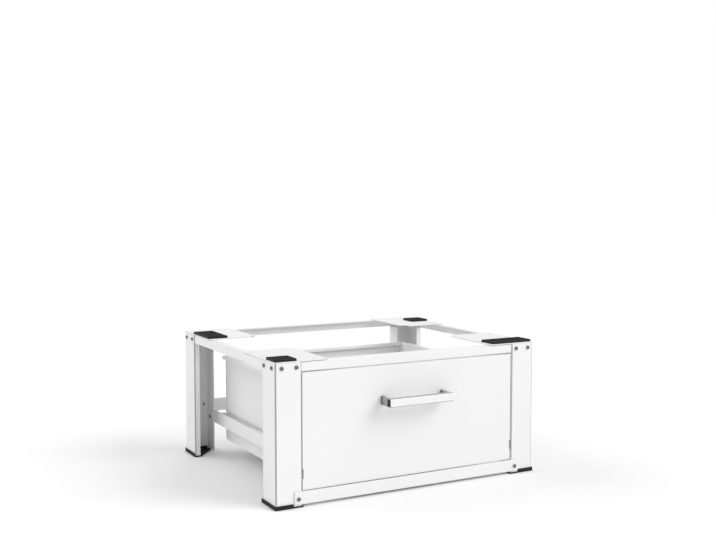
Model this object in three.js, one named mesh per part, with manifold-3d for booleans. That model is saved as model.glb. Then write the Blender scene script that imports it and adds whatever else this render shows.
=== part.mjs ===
// Washer pedestal: a bolted sheet-steel frame with one drawer on three-member ball slides.
// Millimetres, +Z up, +X to the right, +Y to the rear. While it is built, the corner of the
// front left leg at floor level is the zero point; the last lines move the origin to the
// middle of the footprint.
import * as THREE from "three";
import { mergeVertices } from "three/addons/utils/BufferGeometryUtils.js";
import Module from "manifold-3d";

const wasm = await Module();
wasm.setup();

// ---------------------------------------------------------------- overall sizes
const width = 630;
const depth = 540;
const height = 295; // floor to the top of the corner plates
const seatGap = 0.25; // left between two parts that are bolted or laid together
const lineGap = 1; // running gap round the drawer front

// ---------------------------------------------------------------- sheet and bends
const frameSheet = 2;
const drawerSheet = 1.25;
const slideSheet = 1;
const frameBend = 1; // inside radius of the frame's bends
const drawerBend = 1;
const bendSteps = 3; // facets of one bend

// ---------------------------------------------------------------- legs
const legFace = 58; // flange along the front or the rear
const legSide = 66; // flange along the side
const legLip = 13; // stiffening lip at the free edge of the side flange
const legInner = 41; // inner flange, which carries the runner
const legNotchGap = 1; // from a top rail to the notch in the leg under it

// ---------------------------------------------------------------- rubber boots under the legs
const bootBase = 2.5;
const bootWall = 1.75;
const bootRise = 8.5;
const bootEdge = 2; // how far the base stands past the leg's free edges
const bootHeel = 12; // length of the base under the root of the leg's inner flange

// ---------------------------------------------------------------- frame top
const railDrop = 19.5; // height of a top rail's face
const railShelf = 16; // width of its top flange
const railEndGap = 1; // clears the bend inside the leg
const plateSheet = 2;
const plateMargin = 8; // corner plate past the longest pad
const plateCut = 14; // diagonal at the plate's inner corner
const padSide = 48; // small square pad, front left and rear right
const padLength = 104; // long pad, along the front right and the rear left
const padThickness = 4.5;
const padRound = 4;
const padRim = 4;
const padRecess = 1.25;
const padInsetRight = 4; // the right pads lie this far in from the right end
const padInsetRear = 59; // and the rear pads this far in from the rear

// ---------------------------------------------------------------- cross rails
const frontRailLap = 18; // length of the rail's end in front of a leg
const frontRailBottom = 5;
const frontRailHeight = 27;
const rearRailLap = 28;
const rearRailBottom = 95;
const rearRailHeight = 28;
const crossShelf = 16; // flange of both cross rails
const crossShelfGap = 1; // from the end of that flange to the runner

// ---------------------------------------------------------------- bolts with weld nuts
const boltRadius = 2.5;
const boltClearance = 0.25;
const boltHeadRadius = 4.75;
const boltHeadHeight = 2.75;
const boltHeadEdge = 0.8; // straight edge of the head, below its dome
const boltShoulder = { radius: 4.1, height: 2.05 };
const boltCrown = 2.6; // radius of the flat round the socket
const boltLength = 9.5;
const boltSocketFlats = 3;
const boltSocketDepth = 1.5;
const nutFlats = 8;
const nutHeight = 4;
const roundSteps = 12; // facets round a bolt, a hole or a post
const topBoltDrop = 13; // below the top of the corner plates
const faceBoltInset = 14; // outer bolt, from the end of the front or rear face
const sideBoltInset = 16; // outer bolt, from the end of the side
const innerBoltInset = 12; // inner bolts, from the free edge of the leg's flange
const frontRailBoltRise = 12; // above the lower edge of the rail
const rearRailBoltRise = 18;

// ---------------------------------------------------------------- runners
const runnerBottom = 72;
const runnerHeight = 32;
const runnerShelf = 12;
const runnerFrontInset = 20; // from the frame's front face
const runnerRearInset = 8;
const runnerScrewInset = 18; // from the rear face
const runnerScrewRise = 12; // above the runner's lower edge

// ---------------------------------------------------------------- ball slides
const slideShelfGap = 0.35; // from the runner's shelf to the slide
const slideStart = 40;
const slideEndGap = 5; // from the slide to the drawer's rear face
const slideSetback = 2; // the moving members end this far inside the fixed one
const travel = 400;
const ballRadius = 2;
const ballGap = 0.15;
const ballsPerRow = 5;
const ballFacets = 8;
const outerBallV = 12.5; // outer balls above and below the middle of the slide
const outerRaceWidth = 7.8; // between the middles of the fixed member's web and lip
const outerLipDrop = 1; // the lip ends this far under the middle of the ball
const middleChamfer = 1.4;
const innerCurlRise = 1.6;
const raceSideGap = 0.3; // beside an inner ball
const lipGap = 0.6; // from the middle member's lip to the drawer member's web
const cageSheet = 0.6;
const cageMargin = 8;
const cageDip = 0.4; // outer cage runs this far under the middle of its balls
const outerCageGap = 0.25; // on both sides of the outer cage's web
const innerCageGap = 0.4;
const cageEndGap = 0.8; // from a cage's edge to the lip it reaches towards
const slideBend = 0.5;
const slideBendSteps = 2;
const slideHoleRadius = 2.25;
const slideHoleInset = 36;

// ---------------------------------------------------------------- drawer
const frontRecess = 1.5; // drawer front behind the face of the legs
const frontReturn = 16; // depth of the folded edge
const frontEdgeRound = 1.5;
const frontInnerRound = 0.3;
const frontNotch = { bottom: 56, height: 20, depth: 2.5 };
const boxGap = 0.3; // slide to drawer side
const boxBottom = 38;
const boxTopDrop = 54; // rim of the box below the top of the corner plates
const boxRearInset = 80; // rear panel from the frame's rear face
const rimWidth = 10;
const rimDrop = 7.5;
const boxFlange = 15; // inward flanges of the box
const flangeBelowRim = 11; // the sides' upright flanges end this far below the rim
const bottomUpstand = 20;

// ---------------------------------------------------------------- handle
const handleLength = 154;
const handleHeight = 17;
const handleBar = 15;
const handleReach = 42; // from the drawer front to the face of the bar
const handleDrop = 97; // middle of the bar below the top of the corner plates
const handlePost = 7;
const handlePostInset = 0.5;
const handlePostFoot = 18; // height of the post where it meets the drawer front
const handleRound = 1.5;

// ---------------------------------------------------------------- places that follow
const legBottom = bootBase + seatGap;
const plateAlongX = padInsetRight + padLength + plateMargin;
const plateAlongY = padInsetRear + padLength + plateMargin;
const frameTop = height - plateSheet - seatGap;
const railBottom = frameTop - railDrop;
const topBoltZ = height - topBoltDrop;
const faceBoltX = [faceBoltInset, legFace - innerBoltInset];
const sideBoltY = [sideBoltInset, legSide - innerBoltInset];
const frontRailInset = legFace - frontRailLap;
const frontRailBoltX = legFace - frontRailLap / 2;
const frontRailBoltZ = frontRailBottom + frontRailBoltRise;
const rearRailInset = legFace - rearRailLap;
const rearRailBoltX = legFace - rearRailLap / 2;
const rearRailBoltZ = rearRailBottom + rearRailBoltRise;
const frontFace = frontRecess;
const frontLeft = legFace + lineGap;
const frontBottom = frontRailBottom + frontRailHeight + lineGap;
const frontTop = railBottom - lineGap;
const frontInside = frontFace + drawerSheet + seatGap;
const runnerX = legFace + seatGap;
const runnerScrewZ = runnerBottom + runnerScrewRise;
const slideX = runnerX + frameSheet + seatGap;

// Places through a slide's thickness, from the runner towards the drawer.
const halfSlideSheet = slideSheet / 2;
const outerCageWebU = slideSheet + outerCageGap + cageSheet / 2;
const middleWebU = outerCageWebU + cageSheet / 2 + outerCageGap + halfSlideSheet;
const innerCageWebU = middleWebU + halfSlideSheet + innerCageGap + cageSheet / 2;
const innerCurlU = innerCageWebU + cageSheet / 2 + innerCageGap + halfSlideSheet;
const innerBallU = innerCurlU + halfSlideSheet + raceSideGap + ballRadius;
const middleLipU = innerBallU + ballRadius + raceSideGap + halfSlideSheet;
const drawerWebU = middleLipU + slideSheet + lipGap;
const slideThick = drawerWebU + halfSlideSheet;
const outerLipU = halfSlideSheet + outerRaceWidth;
const outerBallU = halfSlideSheet + outerRaceWidth / 2;
const outerCageEndU = outerLipU - halfSlideSheet - cageEndGap;
const innerCageEndU = middleLipU - halfSlideSheet - cageEndGap;

// Places above the middle of a slide.
const raceRadius = ballRadius + ballGap + halfSlideSheet;
const ballTop = outerBallV + raceRadius;
const middleTop = outerBallV - raceRadius;
const innerBallV = middleTop - raceRadius;
const innerTop = innerBallV - raceRadius;
const raceChamfer = outerRaceWidth / 2 - raceRadius * (Math.SQRT2 - 1); // touches the race's circle
const slideZ = runnerBottom + frameSheet + slideShelfGap + ballTop + halfSlideSheet;

const boxLeft = slideX + slideThick + boxGap;
const boxTop = height - boxTopDrop;
const boxRear = depth - boxRearInset;
const rearInside = boxRear - drawerSheet - seatGap;
const slideLength = boxRear - slideEndGap - slideStart;
const handleZ = height - handleDrop;
const handleFront = frontFace - handleReach;
const rearmost = depth + seatGap + frameSheet + seatGap + boltHeadHeight;
const cageLength = slideLength - travel / 2 - 2 * cageMargin;
const cageStart = slideStart + travel / 4 + cageMargin;
const memberStart = slideStart + slideSetback;
const memberLength = slideLength - 2 * slideSetback;
const over = 5; // how far a cutting tool runs past what it cuts
const holeReach = frameSheet + nutHeight + over; // through a sheet and its weld nut

// ---------------------------------------------------------------- materials
const whitePaint = { color: 0xeef0f1, roughness: 0.45, metalness: 0.0 };
const blackRubber = { color: 0x1c1d1f, roughness: 0.8, metalness: 0.0 };
const zincSteel = { color: 0x8f9397, roughness: 0.35, metalness: 0.9 };
const boltSteel = { color: 0x6f7276, roughness: 0.4, metalness: 0.9 };
const satinMetal = { color: 0xd8dadc, roughness: 0.2, metalness: 1.0 };

// ---------------------------------------------------------------- shape helpers
// Outline of a folded sheet: its middle line is a list of [a, b] corners, and each inside
// corner becomes a round bend. The left side is walked first, then the right side back.
function sheetShape(path, sheet, bend, steps = bendSteps) {
  const corners = path.map(([a, b]) => new THREE.Vector2(a, b));
  const left = [];
  const right = [];
  const last = corners.length - 1;
  const square = (point, along) => {
    const normal = new THREE.Vector2(-along.y, along.x).multiplyScalar(sheet / 2);
    left.push(point.clone().add(normal));
    right.push(point.clone().sub(normal));
  };
  const direction = (i) => corners[i + 1].clone().sub(corners[i]).normalize();
  square(corners[0], direction(0));
  for (let i = 1; i < last; i += 1) {
    const before = direction(i - 1);
    const after = direction(i);
    const turn = Math.atan2(before.cross(after), before.dot(after));
    const side = Math.sign(turn);
    const radius = bend + sheet / 2;
    const start = corners[i].clone().addScaledVector(before, -radius * Math.tan(Math.abs(turn) / 2));
    const inward = new THREE.Vector2(-before.y, before.x).multiplyScalar(side);
    const centre = start.clone().addScaledVector(inward, radius);
    for (let k = 0; k <= steps; k += 1) {
      const ray = inward.clone().negate();
      ray.rotateAround(new THREE.Vector2(0, 0), (turn * k) / steps);
      left.push(centre.clone().addScaledVector(ray, radius - (side * sheet) / 2));
      right.push(centre.clone().addScaledVector(ray, radius + (side * sheet) / 2));
    }
  }
  square(corners[last], direction(last - 1));
  return new THREE.Shape([...left, ...right.reverse()]);
}

// Rectangle with round corners between two opposite corners.
function roundedRectangle(a0, b0, a1, b1, radius) {
  const shape = new THREE.Shape();
  shape.moveTo(a0 + radius, b0);
  shape.lineTo(a1 - radius, b0);
  shape.absarc(a1 - radius, b0 + radius, radius, -Math.PI / 2, 0);
  shape.lineTo(a1, b1 - radius);
  shape.absarc(a1 - radius, b1 - radius, radius, 0, Math.PI / 2);
  shape.lineTo(a0 + radius, b1);
  shape.absarc(a0 + radius, b1 - radius, radius, Math.PI / 2, Math.PI);
  shape.lineTo(a0, b0 + radius);
  shape.absarc(a0 + radius, b0 + radius, radius, Math.PI, Math.PI * 1.5);
  return shape;
}

function polygon(points) {
  return new THREE.Shape(points.map(([a, b]) => new THREE.Vector2(a, b)));
}

// Extrusion between two values of one axis. The shape's own axes are X and Y for a prism
// along Z, Y and Z along X, and X and Z along Y.
function prism(shape, axis, from, to, steps = bendSteps) {
  const geometry = new THREE.ExtrudeGeometry(shape, {
    depth: to - from,
    bevelEnabled: false,
    curveSegments: steps,
  });
  const x = new THREE.Vector3(1, 0, 0);
  const y = new THREE.Vector3(0, 1, 0);
  const z = new THREE.Vector3(0, 0, 1);
  const turn = new THREE.Matrix4();
  if (axis === "x") {
    turn.makeBasis(y, z, x).setPosition(from, 0, 0);
  } else if (axis === "y") {
    turn.makeBasis(x, z, y.negate()).setPosition(0, to, 0);
  } else {
    turn.setPosition(0, 0, from);
  }
  return solid(geometry.applyMatrix4(turn));
}

function block(x0, x1, y0, y1, z0, z1) {
  const geometry = new THREE.BoxGeometry(x1 - x0, y1 - y0, z1 - z0);
  return solid(geometry.translate((x0 + x1) / 2, (y0 + y1) / 2, (z0 + z1) / 2));
}

// A round bar, or with 6 steps a hexagon bar, from a point along one axis.
function bar(radius, steps, axis, start, length) {
  const geometry = new THREE.CylinderGeometry(radius, radius, length, steps);
  geometry.translate(0, length / 2, 0);
  if (axis === "x") geometry.rotateZ(-Math.PI / 2);
  if (axis === "z") geometry.rotateX(Math.PI / 2);
  return solid(geometry.translate(...start));
}

// Three.js geometry to a solid that can be cut and joined, and back.
function solid(geometry) {
  geometry.deleteAttribute("normal");
  geometry.deleteAttribute("uv");
  const merged = mergeVertices(geometry);
  const mesh = new wasm.Mesh({
    numProp: 3,
    vertProperties: new Float32Array(merged.attributes.position.array),
    triVerts: new Uint32Array(merged.index.array),
  });
  return new wasm.Manifold(mesh);
}

function toGeometry(body) {
  const mesh = body.getMesh();
  const geometry = new THREE.BufferGeometry();
  geometry.setAttribute("position", new THREE.BufferAttribute(mesh.vertProperties, 3));
  geometry.setIndex(new THREE.BufferAttribute(mesh.triVerts, 1));
  geometry.computeVertexNormals();
  return geometry;
}

function join(bodies) {
  return bodies.reduce((sum, body) => sum.add(body));
}

function cut(body, tools) {
  return tools.reduce((rest, tool) => rest.subtract(tool), body);
}

function part(name, body, look) {
  const mesh = new THREE.Mesh(toGeometry(body), new THREE.MeshStandardMaterial(look));
  mesh.name = name;
  return mesh;
}

// ---------------------------------------------------------------- bolts, holes and nuts
const holeRadius = boltRadius + boltClearance;
const nutRadius = nutFlats / Math.sqrt(3);

// A through hole for a bolt, centred on a point of its axis.
function boltHole(axis, [x, y, z]) {
  const start = { x: [x - holeReach, y, z], y: [x, y - holeReach, z] }[axis];
  return bar(holeRadius, roundSteps, axis, start, 2 * holeReach);
}

// Weld nut that stands on a face; direction is +1 or -1 along the axis.
function weldNut(axis, direction, [x, y, z]) {
  const back = direction < 0 ? nutHeight : 0;
  const start = { x: [x - back, y, z], y: [x, y - back, z] }[axis];
  return bar(nutRadius, 6, axis, start, nutHeight);
}

// Button-head bolt along +Z, with its seat at z = 0 and its shank below it.
function boltBody() {
  const profile = [
    [0, -boltLength],
    [boltRadius, -boltLength],
    [boltRadius, 0],
    [boltHeadRadius, 0],
    [boltHeadRadius, boltHeadEdge],
    [boltShoulder.radius, boltShoulder.height],
    [boltCrown, boltHeadHeight],
    [0, boltHeadHeight],
  ];
  const points = profile.map(([r, z]) => new THREE.Vector2(r, z));
  const turned = new THREE.LatheGeometry(points, roundSteps).rotateX(Math.PI / 2);
  const socketBottom = [0, 0, boltHeadHeight - boltSocketDepth];
  const socket = bar(boltSocketFlats / Math.sqrt(3), 6, "z", socketBottom, boltSocketDepth + over);
  return solid(turned).subtract(socket);
}

// The way a bolt's head points, as the turn that takes +Z there.
const headTurn = {
  front: [Math.PI / 2, 0],
  rear: [-Math.PI / 2, 0],
  left: [0, -Math.PI / 2],
  right: [0, Math.PI / 2],
};

function bolt(name, body, facing, place) {
  const mesh = part(name, body, boltSteel);
  mesh.rotation.set(headTurn[facing][0], headTurn[facing][1], 0);
  mesh.position.set(...place);
  return mesh;
}

// ---------------------------------------------------------------- corners
// Each corner is built from its own outer edge inwards: atX and atY turn a distance from
// the corner into a coordinate of the frame.
const corners = ["front_left", "front_right", "rear_left", "rear_right"].map((name) => {
  const right = name.endsWith("right");
  const rear = name.startsWith("rear");
  return {
    name,
    right,
    rear,
    inX: right ? -1 : 1,
    inY: rear ? -1 : 1,
    atX: (distance) => (right ? width - distance : distance),
    atY: (distance) => (rear ? depth - distance : distance),
  };
});

// A block given by distances from a corner.
function cornerBlock(corner, x0, x1, y0, y1, z0, z1) {
  const xs = [corner.atX(x0), corner.atX(x1)].sort((a, b) => a - b);
  const ys = [corner.atY(y0), corner.atY(y1)].sort((a, b) => a - b);
  return block(...xs, ...ys, z0, z1);
}

function leg(corner) {
  const { atX, atY, inY } = corner;
  const half = frameSheet / 2;
  const path = [
    [atX(legLip), atY(legSide - half)],
    [atX(half), atY(legSide - half)],
    [atX(half), atY(half)],
    [atX(legFace - half), atY(half)],
    [atX(legFace - half), atY(legInner)],
  ];
  const section = sheetShape(path, frameSheet, frameBend);
  const body = prism(section, "z", legBottom, frameTop);
  const notchBottom = railBottom - legNotchGap;
  const notches = [
    cornerBlock(corner, frameSheet, legLip + over, legSide / 2, legSide + over, notchBottom, height),
    cornerBlock(corner, legFace / 2, legFace + over, frameSheet, legInner + over, notchBottom, height),
  ];
  const crossX = corner.rear ? rearRailBoltX : frontRailBoltX;
  const crossZ = corner.rear ? rearRailBoltZ : frontRailBoltZ;
  const holes = [
    ...faceBoltX.map((x) => boltHole("y", [atX(x), atY(frameSheet / 2), topBoltZ])),
    ...sideBoltY.map((y) => boltHole("x", [atX(frameSheet / 2), atY(y), topBoltZ])),
    boltHole("y", [atX(crossX), atY(frameSheet / 2), crossZ]),
  ];
  if (corner.rear) {
    holes.push(boltHole("x", [atX(legFace - half), atY(runnerScrewInset), runnerScrewZ]));
  }
  const nut = weldNut("y", inY, [atX(crossX), atY(frameSheet), crossZ]);
  return part(`leg_${corner.name}`, cut(cut(body, notches).add(nut), holes), whitePaint);
}

// Rubber boot: a base with a diagonal inner edge, a wall outside the leg and a rib inside it.
function boot(corner) {
  const { atX, atY } = corner;
  const out = -(seatGap + bootWall);
  const wallEnd = corner.rear ? legFace : frontRailInset - bootEdge;
  const base = polygon([
    [atX(out), atY(out)],
    [atX(legFace + bootEdge), atY(out)],
    [atX(legFace + bootEdge), atY(bootHeel)],
    [atX(legLip + bootEdge), atY(legSide + bootEdge)],
    [atX(out), atY(legSide + bootEdge)],
  ]);
  const ribIn = frameSheet + seatGap;
  const ribEnd = legFace - frameSheet - bootEdge * 2;
  const bodies = [
    prism(base, "z", 0, bootBase),
    cornerBlock(corner, out, wallEnd, out, -seatGap, 0, bootRise),
    cornerBlock(corner, out, -seatGap, out, legSide + bootEdge, 0, bootRise),
    cornerBlock(corner, ribIn + frameBend, ribEnd, ribIn, ribIn + bootWall, 0, bootRise),
    cornerBlock(corner, ribIn, ribIn + bootWall, ribIn + frameBend, legSide - legLip, 0, bootRise),
  ];
  return part(`boot_${corner.name}`, join(bodies), blackRubber);
}

function cornerPlate(corner) {
  const { atX, atY } = corner;
  const outline = polygon([
    [atX(seatGap), atY(seatGap)],
    [atX(plateAlongX), atY(seatGap)],
    [atX(plateAlongX), atY(plateAlongY - plateCut)],
    [atX(plateAlongX - plateCut), atY(plateAlongY)],
    [atX(seatGap), atY(plateAlongY)],
  ]);
  const body = prism(outline, "z", height - plateSheet, height);
  return part(`corner_plate_${corner.name}`, body, whitePaint);
}

function pad(corner) {
  const alongX = corner.right && !corner.rear ? padLength : padSide;
  const alongY = corner.rear && !corner.right ? padLength : padSide;
  const x0 = corner.right ? width - padInsetRight - alongX : 0;
  const y0 = corner.rear ? depth - padInsetRear - alongY : 0;
  const bottom = height + seatGap;
  const top = bottom + padThickness;
  const outline = roundedRectangle(0, 0, alongX, alongY, padRound);
  const inside = roundedRectangle(padRim, padRim, alongX - padRim, alongY - padRim, padRound / 2);
  const recess = prism(inside, "z", top - padRecess, top + over);
  const mesh = part(`pad_${corner.name}`, prism(outline, "z", bottom, top).subtract(recess), blackRubber);
  mesh.position.set(x0, y0, 0);
  return mesh;
}

// ---------------------------------------------------------------- top rails
// Angle behind the legs' faces: its web hangs down at the outside and its flange lies level
// on top. The flanges of neighbours meet in a mitre.
function topRail(side) {
  const half = frameSheet / 2;
  const alongX = side === "front" || side === "rear";
  const far = side === "rear" || side === "right";
  const span = alongX ? depth : width;
  const length = alongX ? width : depth;
  const start = alongX ? frameSheet + railEndGap : frameSheet + seatGap * 2 + frameSheet;
  const across = (distance) => (far ? span - distance : distance);
  const out = frameSheet + seatGap;
  const path = [
    [across(out + half), railBottom],
    [across(out + half), frameTop - half],
    [across(out + railShelf), frameTop - half],
  ];
  const section = sheetShape(path, frameSheet, frameBend);
  const axis = alongX ? "x" : "y";
  const body = prism(section, axis, start, length - start);
  const through = alongX ? "y" : "x";
  const bolts = alongX ? faceBoltX : sideBoltY;
  const spots = [...bolts, ...bolts.map((at) => length - at)];
  const place = (at, distance) => {
    return alongX ? [at, across(distance), topBoltZ] : [across(distance), at, topBoltZ];
  };
  const nuts = spots.map((at) => weldNut(through, far ? -1 : 1, place(at, out + frameSheet)));
  const holes = spots.map((at) => boltHole(through, place(at, out + half)));
  return part(`top_rail_${side}`, cut(join([body, ...nuts]), [...holes, ...mitres(alongX)]), whitePaint);
}

// Wedges that take the ends of the top flanges off along the diagonals of the corners.
function mitres(alongX) {
  const reach = railShelf + frameSheet + over;
  const shift = alongX ? seatGap : -seatGap;
  return corners.map(({ atX, atY }) => {
    const near = -over;
    const points = alongX
      ? [[near, near - shift], [reach, reach - shift], [near, reach - shift]]
      : [[near + shift, near], [reach + shift, reach], [reach + shift, near]];
    const wedge = polygon(points.map(([x, y]) => [atX(x), atY(y)]));
    return prism(wedge, "z", frameTop - frameSheet - frameBend, height);
  });
}

// ---------------------------------------------------------------- cross rails
// Angle outside the legs' faces; its flange reaches inwards between the legs.
function crossRail(name, rear, inset, bottom, tall, boltX, boltZ) {
  const half = frameSheet / 2;
  const across = (distance) => (rear ? depth - distance : distance);
  const out = -(seatGap + frameSheet);
  const path = [
    [across(out + half), bottom + tall],
    [across(out + half), bottom + half],
    [across(out + crossShelf), bottom + half],
  ];
  const body = prism(sheetShape(path, frameSheet, frameBend), "x", inset, width - inset);
  const shelfEnd = runnerX + frameSheet + crossShelfGap;
  const ys = [across(-seatGap), across(crossShelf + over)].sort((a, b) => a - b);
  const tools = [
    block(inset - over, shelfEnd, ...ys, bottom - over, bottom + tall + over),
    block(width - shelfEnd, width - inset + over, ...ys, bottom - over, bottom + tall + over),
    boltHole("y", [boltX, across(out + half), boltZ]),
    boltHole("y", [width - boltX, across(out + half), boltZ]),
  ];
  return part(name, cut(body, tools), whitePaint);
}

// ---------------------------------------------------------------- sides
// What stands inboard of the legs is built at the left and mirrored: atX turns a distance
// from the left or right end into a coordinate, and sideways an outline of such distances.
const sides = ["left", "right"].map((name) => ({
  name,
  atX: (distance) => (name === "right" ? width - distance : distance),
}));

// A block of a side, given by distances from its end.
function sideBlock(side, x0, x1, y0, y1, z0, z1) {
  const xs = [side.atX(x0), side.atX(x1)].sort((a, b) => a - b);
  return block(...xs, y0, y1, z0, z1);
}

function runner(side) {
  const half = frameSheet / 2;
  const path = [
    [side.atX(runnerX + half), runnerBottom + runnerHeight],
    [side.atX(runnerX + half), runnerBottom + half],
    [side.atX(runnerX + runnerShelf), runnerBottom + half],
  ];
  const section = sheetShape(path, frameSheet, frameBend);
  const body = prism(section, "y", runnerFrontInset, depth - runnerRearInset);
  const hole = boltHole("x", [side.atX(runnerX + half), depth - runnerScrewInset, runnerScrewZ]);
  return part(`runner_${side.name}`, body.subtract(hole), whitePaint);
}

// ---------------------------------------------------------------- ball slides
// Sections are drawn as [u, v]: u from the runner towards the drawer, v up from the middle.
// The upper half is given and the lower half mirrors it.
function slidePath(side, upper) {
  const lower = upper.map(([u, v]) => [u, -v]).reverse();
  return [...lower, ...upper].map(([u, v]) => [side.atX(slideX + u), slideZ + v]);
}

const slideSections = {
  fixed: [
    [halfSlideSheet, ballTop - raceChamfer],
    [halfSlideSheet + raceChamfer, ballTop],
    [outerLipU - raceChamfer, ballTop],
    [outerLipU, ballTop - raceChamfer],
    [outerLipU, outerBallV - outerLipDrop],
  ],
  middle: [
    [middleWebU, middleTop],
    [middleLipU - middleChamfer, middleTop],
    [middleLipU, middleTop - middleChamfer],
    [middleLipU, innerBallV],
  ],
  drawer: [
    [innerCurlU, innerTop + innerCurlRise],
    [innerCurlU, innerTop],
    [drawerWebU, innerTop],
  ].reverse(),
};

function slideMember(side, name, upper, start, length, webU) {
  const section = sheetShape(slidePath(side, upper), slideSheet, slideBend, slideBendSteps);
  const body = prism(section, "y", start, start + length);
  const holes = [slideHoleInset, length / 2, length - slideHoleInset].map((at) => {
    const middle = [side.atX(slideX + webU) - slideSheet, start + at, slideZ];
    return bar(slideHoleRadius, roundSteps, "x", middle, 2 * slideSheet);
  });
  return part(`slide_${name}_${side.name}`, cut(body, holes), zincSteel);
}

// Ball cage: a thin channel with its balls held in the two flanges.
function ballCage(side, name, webU, endU, flangeV, ballU, ballV) {
  const upper = [[webU, flangeV], [endU, flangeV]];
  const section = sheetShape(slidePath(side, upper), cageSheet, slideBend / 2, 1);
  const strip = prism(section, "y", cageStart, cageStart + cageLength);
  const pitch = cageLength / ballsPerRow;
  const balls = [];
  for (let i = 0; i < ballsPerRow; i += 1) {
    for (const up of [-1, 1]) {
      const sphere = new THREE.SphereGeometry(ballRadius, ballFacets, ballFacets / 2);
      sphere.rotateX(Math.PI / 2);
      const y = cageStart + pitch * (i + 0.5);
      balls.push(solid(sphere.translate(side.atX(slideX + ballU), y, slideZ + up * ballV)));
    }
  }
  return part(`ball_cage_${name}_${side.name}`, join([strip, ...balls]), zincSteel);
}

// ---------------------------------------------------------------- drawer
// Side panel: wall, outward rim with a down-turned lip, and inward flanges at the bottom,
// behind the drawer front and before the rear panel.
function drawerSide(side) {
  const { atX } = side;
  const half = drawerSheet / 2;
  const wall = boxLeft + half;
  const upright = sheetShape([
    [atX(boxLeft - rimWidth + half), boxTop - rimDrop],
    [atX(boxLeft - rimWidth + half), boxTop - half],
    [atX(wall), boxTop - half],
    [atX(wall), boxBottom + half],
    [atX(boxLeft + boxFlange), boxBottom + half],
  ], drawerSheet, drawerBend);
  const level = sheetShape([
    [atX(boxLeft + boxFlange), frontInside + half],
    [atX(wall), frontInside + half],
    [atX(wall), rearInside - half],
    [atX(boxLeft + boxFlange), rearInside - half],
  ], drawerSheet, drawerBend);
  const bendRoom = drawerBend + drawerSheet;
  const body = prism(upright, "y", frontInside + bendRoom, rearInside - bendRoom).add(
    prism(level, "z", boxBottom + bendRoom + seatGap, boxTop - flangeBelowRim - seatGap),
  );
  return part(`drawer_side_${side.name}`, body, whitePaint);
}

// Rear panel between the outer faces of the sides; its rim and its flange point to the front.
function drawerRear() {
  const half = drawerSheet / 2;
  const section = sheetShape([
    [boxRear - rimWidth + half, boxTop - rimDrop],
    [boxRear - rimWidth + half, boxTop - half],
    [boxRear - half, boxTop - half],
    [boxRear - half, boxBottom + half],
    [boxRear - boxFlange, boxBottom + half],
  ], drawerSheet, drawerBend);
  const body = prism(section, "x", boxLeft, width - boxLeft);
  const wallEnd = boxLeft + drawerSheet + seatGap;
  const flangeEnd = boxLeft + boxFlange + over;
  const panelFront = boxRear - drawerSheet;
  const tools = sides.flatMap((side) => [
    sideBlock(side, boxLeft - over, wallEnd, boxRear - rimWidth - over, panelFront,
      boxTop - rimDrop - over, boxTop + over),
    sideBlock(side, boxLeft - over, flangeEnd, boxRear - boxFlange - over, panelFront,
      boxBottom - over, boxBottom + over),
  ]);
  return part("drawer_rear", cut(body, tools), whitePaint);
}

function drawerBottom() {
  const half = drawerSheet / 2;
  const level = boxBottom + drawerSheet + seatGap + half;
  const section = sheetShape([
    [frontInside + half, level + bottomUpstand],
    [frontInside + half, level],
    [rearInside - half, level],
    [rearInside - half, level + bottomUpstand],
  ], drawerSheet, drawerBend);
  const end = boxLeft + drawerSheet + drawerBend;
  const bendRoom = drawerBend + drawerSheet;
  const clear = boxLeft + boxFlange + over / 2;
  const topEnd = level + bottomUpstand + over;
  const tools = sides.flatMap((side) => [
    sideBlock(side, end - over, clear, frontInside - over, frontInside + bendRoom, boxBottom, topEnd),
    sideBlock(side, end - over, clear, rearInside - bendRoom, rearInside + over, boxBottom, topEnd),
  ]);
  return part("drawer_bottom", cut(prism(section, "x", end, width - end), tools), whitePaint);
}

// Front: a shallow pan with round edges, open to the rear, with a small notch in both sides.
function drawerFront() {
  const shell = (inset, radius, rear) => {
    const x0 = frontLeft + inset;
    const x1 = width - x0;
    const y0 = frontFace + inset;
    const z0 = frontBottom + inset;
    const z1 = frontTop - inset;
    const deep = rear + 2 * radius;
    const plan = roundedRectangle(x0, y0, x1, deep, radius);
    const elevation = roundedRectangle(y0, z0, deep, z1, radius);
    return prism(plan, "z", z0, z1).intersect(prism(elevation, "x", x0, x1));
  };
  const rear = frontFace + frontReturn;
  const inside = shell(drawerSheet, frontInnerRound, rear + over);
  const pan = shell(0, frontEdgeRound, rear).subtract(inside);
  const { bottom, height: tall, depth: deep } = frontNotch;
  const postX = (handleLength - handlePost) / 2 - handlePostInset;
  const screwY = frontFace + drawerSheet / 2;
  const tools = [
    block(0, width, rear, rear + 2 * over, 0, height),
    ...sides.map((side) => {
      return sideBlock(side, frontLeft - over, frontLeft + deep, 0, rear + over, bottom, bottom + tall);
    }),
    ...[-1, 1].map((way) => boltHole("y", [width / 2 + way * postX, screwY, handleZ])),
  ];
  return part("drawer_front", cut(pan, tools), whitePaint);
}

function handle() {
  const barRear = handleFront + handleBar;
  const base = frontFace - seatGap;
  const half = handleHeight / 2;
  const section = roundedRectangle(handleFront, handleZ - half, barRear, handleZ + half, handleRound);
  const left = (width - handleLength) / 2;
  const grip = prism(section, "x", left, left + handleLength);
  const foot = handlePostFoot / 2;
  const flare = polygon([
    [barRear - handleRound, handleZ - half],
    [base, handleZ - foot],
    [base, handleZ + foot],
    [barRear - handleRound, handleZ + half],
  ]);
  const posts = [left + handlePostInset, left + handleLength - handlePostInset - handlePost];
  const bodies = posts.map((x) => prism(flare, "x", x, x + handlePost));
  return part("handle", join([grip, ...bodies]), satinMetal);
}

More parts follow.
